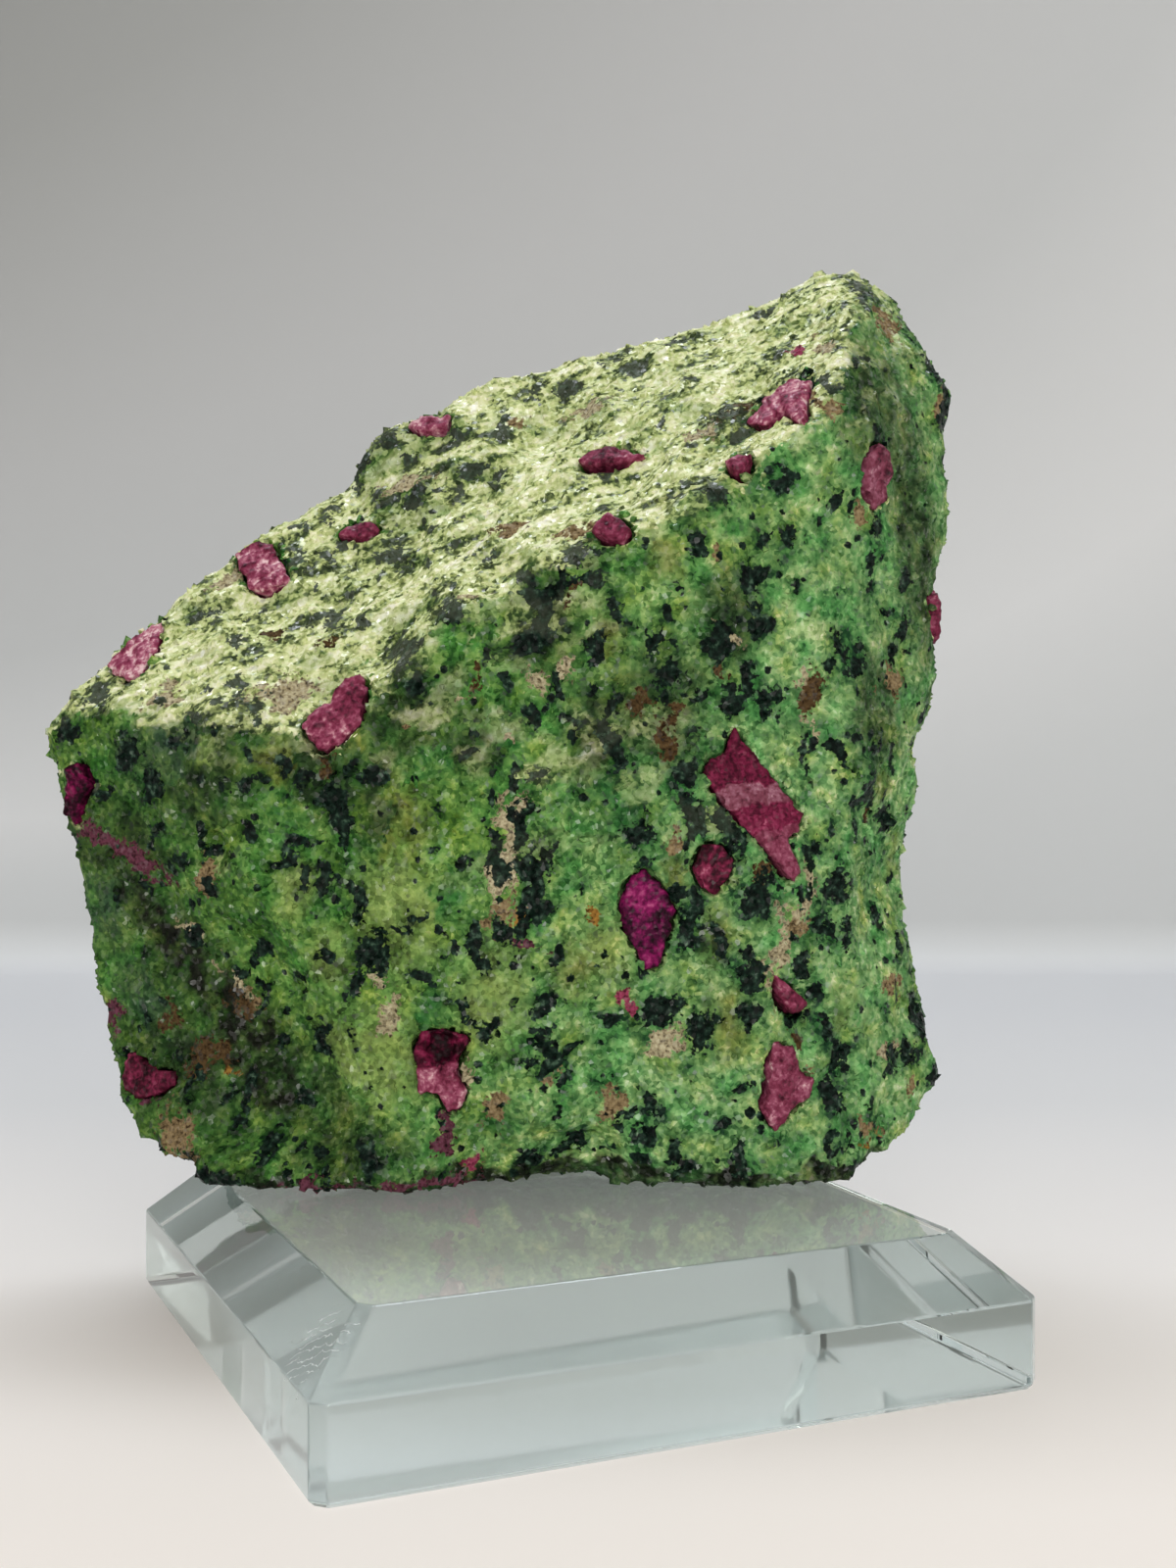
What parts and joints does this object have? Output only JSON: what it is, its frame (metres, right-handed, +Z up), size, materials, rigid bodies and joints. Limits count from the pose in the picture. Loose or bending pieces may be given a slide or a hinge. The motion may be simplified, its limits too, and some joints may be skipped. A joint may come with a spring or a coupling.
{
  "type": "ruby in zoisite mineral specimen on glass display block",
  "caption": "Broken lump of green zoisite rock with ruby crystals grown in it, resting on a square bevelled clear glass display block.",
  "frame": {"origin": "centre of the glass block's flat underside", "axes": "+Z up; +X along the block's front edge, to the right; +Y to the back"},
  "size_m": [0.1374, 0.1184, 0.1653],
  "materials": {
    "zoisite_rock": "sugary broken surface of glassy green zoisite grains, black-green hornblende and tan weathered patches",
    "ruby_corundum": "opaque magenta-red corundum, broken across, with a dull glassy sheen",
    "clear_glass": "polished clear glass with a pale aqua tint and a few fine scratches"
  },
  "bodies": {
    "root": {"zoisite_lump": "zoisite_rock", "glass_block": "clear_glass", "ruby_shield": "ruby_corundum", "ruby_hexagon": "ruby_corundum", "ruby_square": "ruby_corundum", "ruby_lower_right": "ruby_corundum", "ruby_upper_right": "ruby_corundum", "ruby_horn": "ruby_corundum", "ruby_brow": "ruby_corundum", "ruby_left_slope": "ruby_corundum", "ruby_slope_square": "ruby_corundum", "ruby_crest": "ruby_corundum", "ruby_needle": "ruby_corundum", "ruby_edge_middle": "ruby_corundum", "ruby_edge_right": "ruby_corundum", "ruby_slope_small": "ruby_corundum", "ruby_beside_shield": "ruby_corundum", "ruby_streak": "ruby_corundum", "ruby_left_edge": "ruby_corundum", "ruby_lower_left": "ruby_corundum", "ruby_right_edge": "ruby_corundum", "ruby_right_low": "ruby_corundum", "ruby_left_low": "ruby_corundum", "ruby_back_hexagon": "ruby_corundum", "ruby_back_blade": "ruby_corundum", "ruby_back_low": "ruby_corundum", "ruby_back_right": "ruby_corundum"}
  },
  "joints": []
}
